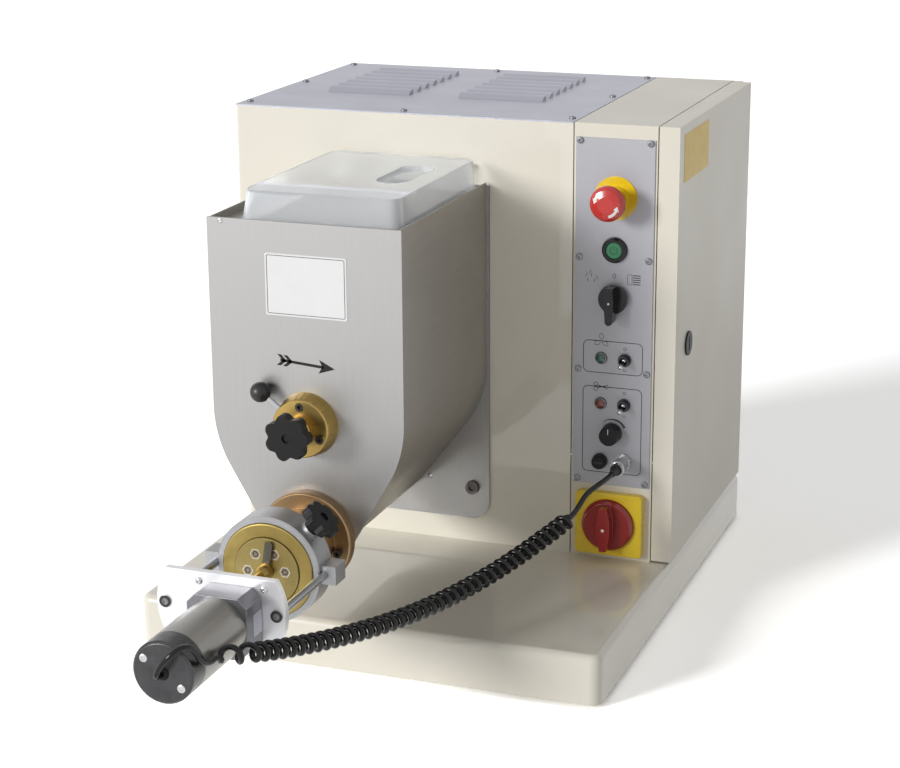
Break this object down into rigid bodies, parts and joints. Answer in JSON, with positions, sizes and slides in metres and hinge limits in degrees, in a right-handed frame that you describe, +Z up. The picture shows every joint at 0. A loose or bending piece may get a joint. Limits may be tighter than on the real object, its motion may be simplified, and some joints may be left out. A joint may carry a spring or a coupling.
{
  "type": "electric pasta extruder",
  "caption": "Bench-top pasta extruder: cream steel cabinet and base, stainless mixing hopper with clear lid, bronze die and motor-driven cutter on a curly cord.",
  "frame": {"origin": "on the floor under the middle of the bounding box, measured without the cutter's cord", "axes": "-Y to the front, where the hopper and cutter reach out; +X to the control panel's side; +Z up"},
  "size_m": [0.535, 1.019, 0.5681],
  "materials": {
    "cream_paint": "gloss cream powder coat",
    "rubber_black": "matt moulded rubber",
    "brushed_stainless": "lengthwise brushed",
    "satin_stainless": "fine satin",
    "panel_silver": "satin anodised",
    "screw_steel": "bright zinc",
    "black_screw": "black oxide",
    "yellow_plastic": "smooth moulded",
    "red_plastic": "smooth moulded",
    "dark_red_plastic": "smooth moulded",
    "black_plastic": "fine-grained moulded",
    "gloss_black": "smooth moulded",
    "green_lens": "translucent moulded",
    "lamp_body": "bezel with coloured lens",
    "clear_plastic": "clear moulded",
    "brass": "turned",
    "bronze": "turned, coppery",
    "cast_aluminium": "blasted casting with turned face",
    "bright_aluminium": "fine milled",
    "motor_steel": "grey metallic enamel",
    "dark_cast": "dark grey enamel",
    "ground_steel": "ground",
    "gear_steel": "machined, oiled",
    "motor_enamel": "blue-grey enamel",
    "cord_black": "smooth polyurethane jacket",
    "connector_metal": "nickel plated",
    "switchgear_grey": "light grey moulded",
    "plate_dark": "satin"
  },
  "bodies": {
    "machine": {"base_plinth": "cream_paint", "rubber_feet": "rubber_black", "cabinet_wrap": "cream_paint", "top_cover": "brushed_stainless", "button_screws": "screw_steel", "control_column": "cream_paint", "hinge_pins": "gear_steel", "panel_plate": "panel_silver", "estop_collar": "yellow_plastic", "start_bezel": "gloss_black", "selector_base": "gloss_black", "lamps": "lamp_body", "panel_bushes": "connector_metal", "fuse_cap": "black_plastic", "cord_socket": "connector_metal", "isolator_body": "yellow_plastic", "contactors": "switchgear_grey", "hopper_trough": "satin_stainless", "hopper_front_plate": "satin_stainless", "hopper_back_plate": "plate_dark", "mixer_hub": "brass", "socket_screws": "black_screw", "barrel": "bronze", "die_nut": "brass", "die_plate": "brass", "bearing_frame": "gear_steel", "bearings": "ground_steel", "drive_motor": "motor_enamel", "mains_gland": "black_plastic", "cord_plug": "connector_metal", "cord_tail_panel": "cord_black"},
    "door": {"side_door": "cream_paint"},
    "latch": {"door_latch": "black_plastic"},
    "estop_plunger": {"estop_stem": "gloss_black"},
    "estop_mushroom": {"estop_head": "red_plastic"},
    "start_button": {"start_cap": "green_lens"},
    "selector": {"selector_knob": "gloss_black"},
    "fan_switch_lever": {"fan_toggle": "connector_metal"},
    "cutter_switch_lever": {"cutter_toggle": "connector_metal"},
    "speed_dial": {"speed_knob": "black_plastic"},
    "isolator_grip": {"isolator_handle": "dark_red_plastic"},
    "lid": {"clear_lid": "clear_plastic"},
    "mixer_lock_lever": {"lock_lever": "gloss_black"},
    "mixer_star_knob": {"mixer_knob": "black_plastic"},
    "mixer": {"mixer_shaft": "satin_stainless", "mixer_gear": "gear_steel"},
    "screw": {"auger": "ground_steel", "auger_gear": "gear_steel"},
    "pinion": {"drive_pinion": "gear_steel"},
    "cutter_unit": {"clamp_ring": "cast_aluminium", "guide_rods": "ground_steel", "motor_plate": "bright_aluminium", "cutter_gearbox": "motor_steel", "cutter_motor": "motor_steel", "motor_end_cap": "dark_cast", "cable_gland": "black_plastic", "coiled_cord": "cord_black", "cord_tail_motor": "cord_black"},
    "ring_star_knob": {"ring_knob": "black_plastic"},
    "cutter_knife": {"knife": "brass"}
  },
  "joints": [
    {"name": "door_swing", "type": "hinge", "parent": "machine", "child": "door", "pos_m": [0.2595, 0.484, 0.311], "axis": [0, 0, 1], "range_deg": [0, 100]},
    {"name": "latch_turn", "type": "hinge", "parent": "door", "child": "latch", "pos_m": [0.2635, 0.1921, 0.3077], "axis": [1, 0, 0], "range_deg": [0, 90]},
    {"name": "estop_push", "type": "slide", "parent": "machine", "child": "estop_plunger", "axis": [0, 1, 0], "range_m": [0, 0.005]},
    {"name": "estop_twist", "type": "hinge", "parent": "estop_plunger", "child": "estop_mushroom", "pos_m": [0.1946, 0.115, 0.4815], "axis": [0, -1, 0], "range_deg": [0, 45]},
    {"name": "start_push", "type": "slide", "parent": "machine", "child": "start_button", "axis": [0, 1, 0], "range_m": [0, 0.003], "stiffness_N_per_m": 400, "springref_m": -0.001},
    {"name": "selector_turn", "type": "hinge", "parent": "machine", "child": "selector", "pos_m": [0.1946, 0.13, 0.368], "axis": [0, -1, 0], "range_deg": [-45, 45]},
    {"name": "fan_toggle_flip", "type": "hinge", "parent": "machine", "child": "fan_switch_lever", "pos_m": [0.2078, 0.133, 0.2974], "axis": [-1, 0, 0], "range_deg": [0, 24]},
    {"name": "cutter_toggle_flip", "type": "hinge", "parent": "machine", "child": "cutter_switch_lever", "pos_m": [0.2078, 0.133, 0.2447], "axis": [-1, 0, 0], "range_deg": [0, 24]},
    {"name": "speed_turn", "type": "hinge", "parent": "machine", "child": "speed_dial", "pos_m": [0.1943, 0.135, 0.2106], "axis": [0, -1, 0], "range_deg": [-150, 150]},
    {"name": "isolator_turn", "type": "hinge", "parent": "machine", "child": "isolator_grip", "pos_m": [0.1933, 0.1265, 0.1025], "axis": [0, -1, 0], "range_deg": [0, 90]},
    {"name": "lid_open", "type": "hinge", "parent": "machine", "child": "lid", "pos_m": [-0.053, 0.128, 0.51], "axis": [-1, 0, 0], "range_deg": [0, 88]},
    {"name": "lever_swing", "type": "hinge", "parent": "machine", "child": "mixer_lock_lever", "pos_m": [-0.0636, -0.1445, 0.274], "axis": [0, -1, 0], "range_deg": [0, 30]},
    {"name": "mixer_knob_turn", "type": "hinge", "parent": "machine", "child": "mixer_star_knob", "pos_m": [-0.0636, -0.1515, 0.274], "axis": [0, -1, 0], "range_deg": [0, 360]},
    {"name": "auger_spin", "type": "hinge", "parent": "machine", "child": "screw", "pos_m": [-0.0636, 0.1365, 0.149], "axis": [0, 1, 0], "continuous": true},
    {"name": "mixer_spin", "type": "hinge", "parent": "machine", "child": "mixer", "pos_m": [-0.0636, 0.1365, 0.274], "axis": [0, 1, 0], "continuous": true},
    {"name": "pinion_spin", "type": "hinge", "parent": "machine", "child": "pinion", "pos_m": [0.0189, 0.1965, 0.149], "axis": [0, 1, 0], "continuous": true},
    {"name": "cutter_slide", "type": "slide", "parent": "machine", "child": "cutter_unit", "axis": [0, -1, 0], "range_m": [0, 0.06]},
    {"name": "ring_knob_turn", "type": "hinge", "parent": "cutter_unit", "child": "ring_star_knob", "pos_m": [-0.01998, -0.2215, 0.19417], "axis": [0.6947, 0, 0.7193], "range_deg": [0, 360]},
    {"name": "knife_spin", "type": "hinge", "parent": "cutter_unit", "child": "cutter_knife", "pos_m": [-0.0636, -0.3495, 0.149], "axis": [0, -1, 0], "continuous": true}
  ],
  "couplings": [
    {"joint": "mixer_spin", "follows": "auger_spin", "ratio": -1},
    {"joint": "pinion_spin", "follows": "auger_spin", "ratio": -3.125}
  ]
}
